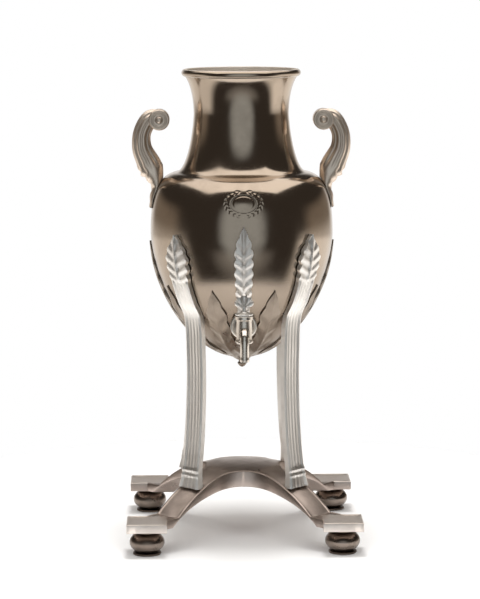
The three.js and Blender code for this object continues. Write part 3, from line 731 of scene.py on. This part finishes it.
leg_rings = swept(leg_points, 230, leg_section)
for name, angle in corners:
    leg = Build().loft(leg_rings, spin(math.radians(angle))).make("leg_strap_" + name, CHASED, 50)
    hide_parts("leg_" + name)


# Handles

# The points round a handle, its reeds and the lobes of its leaf, and the height above which
# it is free of the shoulder
HANDLE_POINTS, HANDLE_REEDS, HANDLE_LOBES = 80, 10, 11
HANDLE_FREE = NECK_H - 30

rise, bulge = REACH_H - HANDLE_FOOT, REACH - BELLY_R
handle_points = [
    on_vase(share_at(HANDLE_FOOT), 0),
    on_vase(share_at(HANDLE_FOOT + 0.17 * rise), 0.5),
    (BELLY_R - 0.85 * bulge, HANDLE_FOOT + 0.34 * rise),
    (BELLY_R - 0.5 * bulge, HANDLE_FOOT + 0.53 * rise),
    (BELLY_R + 0.3 * bulge, HANDLE_FOOT + 0.74 * rise),
    (REACH, REACH_H - 0.05 * rise),
    (REACH - 0.05 * bulge, REACH_H + 0.5 * (EYE_H - REACH_H)),
    (EYE_X + 0.5 * (REACH - EYE_X), EYE_H + 0.08 * EYE_R),
    (EYE_X, EYE_H + 0.12 * EYE_R),
]


def handle_section(share, x, z):
    """A round rod with leaves on its outer side low down and reeds further up."""
    climb = min((z - HANDLE_FOOT) / (0.6 * rise), 1)
    slim = 1 - 0.26 * math.sin(min(max((share - 0.45) / 0.35, 0), 1) * math.pi / 2)
    thick = HANDLE_T / 2 * (0.22 + 0.78 * max(climb, 0) ** 2) * slim
    deep = HANDLE_DEPTH / 2 * (1.12 - 0.2 * share)
    points = []
    for j in range(HANDLE_POINTS):
        a = -TAU * j / HANDLE_POINTS
        wave = 1 - 0.11 * (0.5 + 0.5 * math.cos(HANDLE_REEDS * a)) ** 2 * smooth(share, 0.33, 0.48)
        leaf = 0.09 * math.cos(TAU * (share * HANDLE_LOBES - abs(math.cos(a)) * 0.9))
        leaf *= 1 - smooth(share, 0.36, 0.5)
        leaf *= smooth(math.sin(a), 0.0, 0.5)
        points.append((deep * math.cos(a) * wave, thick * math.sin(a) * (wave + leaf)))
    return points


handle_rings = swept(handle_points, 150, handle_section)
for ring in handle_rings:  # its lower part stays outside the shoulder
    for i, (x, y, z) in enumerate(ring):
        if z < HANDLE_FREE:
            least = float(vase_radius(z)) + GAP + 0.1
            away = max(math.hypot(x, y), 1e-6)
            if away < least:
                ring[i] = (x * least / away, y * least / away, z)
# Radius of the disc in the scroll's eye, and how deep it lies under the handle's side.
EYE_DISC = (
    (0, -0.2), (1.6, -0.15), (2.6, 0.5), (3.1, 0.9), (4.2, 0.35), (5.4, 0.3),
    (6.2, 0.9), (7.0, 0.9), (7.8, 0.2), (9.0, 0.25), (9.8, 0.8), (EYE_R, 1.6),
)
eye = [(r, deep - HANDLE_DEPTH / 2) for r, deep in EYE_DISC]
eye += [(r, -y) for r, y in reversed(eye)]
for name, angle in (("handle_right", 0), ("handle_left", math.pi)):
    turn = spin(angle)
    handle = Build().loft(handle_rings, turn)
    handle.lathe(eye, 64, lambda x, y, z: turn(x + EYE_X, z, y + EYE_H))
    handle = handle.make(name + "_scroll", HANDLE, 55)
    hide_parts(name)


# Tap

def along_y(x, y, z):
    return (x, -z, y + TAP_H)


def at_barrel(x, y, z):
    return (x, y - TAP_Y, z)


tap = Build()
face = FLANGE_FACE
bowl_at = vase_radius(TAP_H)
flange_and_tube = [
    (0, bowl_at - 8), (FLANGE_R - 0.6, bowl_at - 8), (FLANGE_R, bowl_at - 6), (FLANGE_R, face - 1.0),
    (FLANGE_R - 0.4, face - 0.3), (FLANGE_R - 1.2, face), (FLANGE_R - 2.4, face - 0.2),
    (FLANGE_R - 2.9, face - 0.8), (FLANGE_R - 3.6, face - 0.7), (TUBE_R + 1.6, face + 0.2),
    (TUBE_R + 0.5, face + 1.2), (TUBE_R, face + 2.6), (TUBE_R, face + 7), (TUBE_R + 1.0, face + 7.8),
    (TUBE_R + 1.4, face + 9), (TUBE_R + 1.0, face + 10.2), (TUBE_R, face + 11),
    (TUBE_R, TAP_Y), (0, TAP_Y),
]
tap.lathe(flange_and_tube, 56, along_y)
low, high = TAP_H - BARREL_L / 2, TAP_H + BARREL_L / 2
hole = PLUG_R + TURN_GAP
barrel = [
    (0, low), (2.0, low), (BARREL_R - 2.4, low + 0.5), (BARREL_R - 0.6, low + 1.6),
    (BARREL_R, low + 2.4), (BARREL_R - 0.1, low + 3.6), (BARREL_R - 1.0, low + 4.4),
    (BARREL_R - 1.2, low + 6), (BARREL_R - 0.8, TAP_H), (BARREL_R - 1.2, high - 6),
    (BARREL_R - 1.0, high - 4.2), (BARREL_R, high - 3.4), (BARREL_R, high - 0.5),
    (BARREL_R - 0.5, high), (hole, high), (hole, low + WALL), (0, low + WALL),
]
tap.lathe(barrel, 56, at_barrel)

SPOUT_ROWS, SPOUT_POINTS, BORE_L = 50, 32, 11
around = [TAU * i / SPOUT_POINTS for i in range(SPOUT_POINTS)]
spout_at = TAP_Y + SPOUT_REACH
route = [(TAP_Y + 0.3 * SPOUT_REACH, TAP_H - 1), (spout_at - 0.3 * SPOUT_REACH, TAP_H - 2),
         (spout_at, TAP_H - 9), (spout_at, SPOUT_TIP + 4), (spout_at, SPOUT_TIP)]


def spout_section(share, x, z):
    """A round tube with a collar near its start and a ring near its tip."""
    ring = 0.35 * math.exp(-((z - SPOUT_TIP - 2.2) / 1.3) ** 2) if share > 0.5 else 0
    collar = 0.35 * math.exp(-((share - 0.3) / 0.05) ** 2)
    r = SPOUT_R - 0.35 + ring + collar
    return [(r * math.cos(-a), r * math.sin(-a)) for a in around]


# The spout's skin with its start closed, then its bore, open at the tip.
outer = [[(y, -x, z) for x, y, z in ring] for ring in swept(route, SPOUT_ROWS, spout_section)]
verts = [p for ring in outer for p in ring]
faces = []
for i in range(SPOUT_ROWS):
    for j in range(SPOUT_POINTS):
        k = (j + 1) % SPOUT_POINTS
        low_row, high_row = i * SPOUT_POINTS, (i + 1) * SPOUT_POINTS
        faces.append([low_row + j, low_row + k, high_row + k, high_row + j])
start_mid = len(verts)
verts.append(tuple(np.mean(np.array(outer[0]), axis=0)))
for j in range(SPOUT_POINTS):
    faces.append([j, (j + 1) % SPOUT_POINTS, start_mid])
bore = [(SPOUT_BORE * math.cos(a), SPOUT_BORE * math.sin(a) - spout_at) for a in around]
bore_tip = len(verts)
bore_end = bore_tip + SPOUT_POINTS
for z in (SPOUT_TIP, SPOUT_TIP + BORE_L):
    verts += [(x, y, z) for x, y in bore]
tip = np.array(outer[-1])
nearest = [int(np.argmin(np.hypot(tip[:, 0] - x, tip[:, 1] - y))) for x, y in bore]
tip_row = SPOUT_ROWS * SPOUT_POINTS
for j in range(SPOUT_POINTS):
    k = (j + 1) % SPOUT_POINTS
    faces.append([tip_row + nearest[j], tip_row + nearest[k], bore_tip + k, bore_tip + j])
    faces.append([bore_tip + j, bore_tip + k, bore_end + k, bore_end + j])
faces.append([bore_end + j for j in range(SPOUT_POINTS)])
tap.add(verts, faces)
tap = tap.make("tap_turned", TURNED, 40)
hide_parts("tap")

key = Build()
key_low = low + WALL + TURN_GAP
cap = high + TURN_GAP
stem_top = cap + CAP_L + STEM_L
plug_and_stem = [
    (0, key_low), (PLUG_R - 0.3, key_low), (PLUG_R, key_low + 0.3), (PLUG_R, cap),
    (BARREL_R - 0.4, cap), (BARREL_R, cap + 0.4), (BARREL_R, cap + 1.2), (BARREL_R - 1, cap + 1.8),
    (STEM_R + 2, cap + 2.1), (STEM_R + 0.4, cap + CAP_L), (STEM_R - 0.4, cap + CAP_L + 1.2),
    (STEM_R - 0.5, cap + CAP_L + 2.4), (STEM_R, stem_top), (STEM_R, stem_top + 1.8),
    (0, stem_top + 2.4),
]
key.lathe(plug_and_stem, 48, at_barrel)
# The grip is a shell: ribs that spread from the stem. Its start and spread are in half turns.
FAN_START, FAN_SPREAD, FAN_RIBS = -0.12, 1.24, 5
verts, faces = [], []
steps, rows = 72, 14
for i in range(steps + 1):
    a = (FAN_START + FAN_SPREAD * i / steps) * math.pi
    wave = abs(math.sin((a - FAN_START * math.pi) * FAN_RIBS / FAN_SPREAD))
    for j in range(rows + 1):
        t = j / rows
        reach = FAN_R * (0.86 + 0.14 * wave * t) * t
        x = reach * math.cos(a)
        z = stem_top + 0.5 * FAN_R + reach * math.sin(a) - (1 - t) * 0.5 * FAN_R
        thick = FAN_T / 2 * (0.62 + 0.38 * wave) * (1 - smooth(t, 0.86, 1.0) * 0.75)
        verts += [(x, -thick, z), (x, thick, z)]
row = 2 * (rows + 1)
for i in range(steps):
    for j in range(rows):
        a, b = i * row + 2 * j, (i + 1) * row + 2 * j
        faces.append([a, b, b + 2, a + 2])
        faces.append([a + 1, a + 3, b + 3, b + 1])
    a, b = i * row + 2 * rows, (i + 1) * row + 2 * rows
    faces.append([a, b, b + 1, a + 1])
for i in (0, steps):
    for j in range(rows):
        a = i * row + 2 * j
        faces.append([a, a + 1, a + 3, a + 2])
key.add(verts, faces, at_barrel)
key = key.make("tap_key_shell", CHASED, 45)
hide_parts("tap_key")

for obj in (vase, calyx, top_leaf, base, tap):
    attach(obj, "urn")
for obj in bpy.data.objects:
    if obj.name.startswith(("bun_", "leg_strap_")) or obj.name.endswith("_scroll"):
        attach(obj, "urn")
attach(key, "key")


# Floor, light and camera

def plain(name, colour, roughness):
    mat = bpy.data.materials.new(name)
    mat.use_nodes = True
    shader = mat.node_tree.nodes["Principled BSDF"]
    shader.inputs["Base Color"].default_value = (*colour, 1)
    shader.inputs["Roughness"].default_value = roughness
    return mat


disc = bpy.data.meshes.new("floor_disc")
work = bmesh.new()
bmesh.ops.create_circle(work, cap_ends=True, segments=96, radius=0.40)
bmesh.ops.translate(work, verts=work.verts, vec=(0, 0.055, 0))
work.to_mesh(disc)
work.free()
floor = bpy.data.objects.new("floor_disc", disc)
disc.materials.append(plain("floor_white", (0.93, 0.93, 0.93), 0.9))
bpy.context.scene.collection.objects.link(floor)
floor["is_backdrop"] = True


def area(name, place, aim, size, power, colour=(1, 1, 1), in_gloss=True):
    light = bpy.data.lights.new(name, "AREA")
    light.shape = "RECTANGLE"
    light.size, light.size_y = size
    light.energy = power
    light.color = colour
    obj = bpy.data.objects.new(name, light)
    obj.location = place
    obj.rotation_mode = "QUATERNION"
    obj.rotation_quaternion = (Vector(aim) - Vector(place)).to_track_quat("-Z", "Y")
    obj.visible_camera = False
    obj.visible_glossy = in_gloss
    bpy.context.scene.collection.objects.link(obj)


# The soft box over the urn is what its shoulder shows. The other lamps only light the floor.
area("overhead", (0, 0.15, 1.45), (0, 0.15, 0.1), (2.2, 1.9), 19.0, (1.0, 0.97, 0.93))
area("floor_key", (0, 0.02, 1.25), (0, 0.02, 0), (0.3, 0.3), 9.5, in_gloss=False)
area("floor_fill", (0, -1.3, 1.0), (0, 0, 0), (2.4, 1.0), 16, in_gloss=False)

world = bpy.data.worlds.new("studio")
world.use_nodes = True
bpy.context.scene.world = world
nodes, links = world.node_tree.nodes, world.node_tree.links
back = nodes["Background"]
coords = nodes.new("ShaderNodeTexCoord")
split = nodes.new("ShaderNodeSeparateXYZ")
links.new(coords.outputs["Generated"], split.inputs[0])


def zone(axis, start, end, before, after):
    """A soft step along one direction of the room."""
    step = nodes.new("ShaderNodeMapRange")
    step.interpolation_type = "SMOOTHSTEP"
    step.inputs["From Min"].default_value = start
    step.inputs["From Max"].default_value = end
    step.inputs["To Min"].default_value = before
    step.inputs["To Max"].default_value = after
    links.new(split.outputs[axis], step.inputs["Value"])
    return step.outputs["Result"]


def times(one, other):
    node = nodes.new("ShaderNodeMath")
    node.operation = "MULTIPLY"
    links.new(one, node.inputs[0])
    links.new(other, node.inputs[1])
    return node.outputs["Value"]


DARK = (0.05, 0.043, 0.037)


def blend_in(below, colour, amount):
    """A colour laid over what is below, or over the dark room if nothing is."""
    node = nodes.new("ShaderNodeMix")
    node.data_type = "RGBA"
    node.inputs[6].default_value = (*DARK, 1)
    if below is not None:
        links.new(below, node.inputs[6])
    node.inputs[7].default_value = (*colour, 1)
    links.new(amount, node.inputs[0])
    return node.outputs[2]


# A dark room: warm walls behind and at the sides, a pale table beside and behind, a pale wall
# straight behind, the floor in front, and a window by the camera.
walls = times(zone("Y", -0.20, 0.20, 0.0, 1.0), zone("Z", 0.04, 0.24, 1.0, 0.0))
table = times(zone("Y", -0.40, -0.05, 0.0, 1.0), zone("Z", -0.17, -0.04, 1.0, 0.0))
table = times(table, zone("X", -0.95, -0.30, 0.72, 1.0))
sweep = times(zone("Y", 0.80, 0.97, 0.0, 1.0), zone("Z", 0.12, 0.36, 1.0, 0.0))
window = times(zone("Y", -0.95, -0.82, 1.0, 0.0), zone("Z", 0.75, 0.88, 1.0, 0.0))
front_floor = times(zone("Y", -0.93, -0.60, 1.0, 0.0), zone("Z", -0.45, -0.25, 1.0, 0.0))
room = blend_in(None, (0.26, 0.22, 0.18), walls)
room = blend_in(room, (1.15, 1.11, 1.05), table)
room = blend_in(room, (0.95, 0.93, 0.91), sweep)
room = blend_in(room, (0.36, 0.36, 0.35), front_floor)
room = blend_in(room, (0.46, 0.50, 0.52), window)
# The camera itself sees white behind the object.
seen = nodes.new("ShaderNodeLightPath")
pick = nodes.new("ShaderNodeMix")
pick.data_type = "RGBA"
links.new(seen.outputs["Is Camera Ray"], pick.inputs[0])
links.new(room, pick.inputs[6])
pick.inputs[7].default_value = (1, 1, 1, 1)
links.new(pick.outputs[2], back.inputs["Color"])
back.inputs["Strength"].default_value = 1.0

scene = bpy.context.scene
scene.view_settings.view_transform = "Standard"

camera_data = bpy.data.cameras.new("camera")
camera = bpy.data.objects.new("camera", camera_data)
scene.collection.objects.link(camera)
scene.camera = camera
# The photo looks a little to one side of the tap and a little down. The point that the camera
# is aimed at lies at pixel AIM_X, AIM_Y of the photo.
PHOTO_W, PHOTO_H, FOCAL_PX, SENSOR_MM = 480.0, 599.0, 2410.0, 36.0
YAW, ROLL = math.radians(1.3), math.radians(-0.2)
DISTANCE, CAMERA_HEIGHT, AIM_HEIGHT = 2.306, 0.55, 0.225
AIM_X, AIM_Y = 241.9, 302.5
camera_data.sensor_width = SENSOR_MM
camera_data.lens = FOCAL_PX / PHOTO_H * SENSOR_MM
place = Vector((-DISTANCE * math.sin(YAW), -DISTANCE * math.cos(YAW), CAMERA_HEIGHT))
forward = (Vector((0, 0, AIM_HEIGHT)) - place).normalized()
camera.location = place
camera.rotation_mode = "QUATERNION"
camera.rotation_quaternion = forward.to_track_quat("-Z", "Y") @ Quaternion((0, 0, 1), ROLL)
camera_data.shift_x = (PHOTO_W / 2 - AIM_X) / PHOTO_H
camera_data.shift_y = (AIM_Y - PHOTO_H / 2) / PHOTO_H
camera_data.clip_start, camera_data.clip_end = 0.05, 50

low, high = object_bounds()
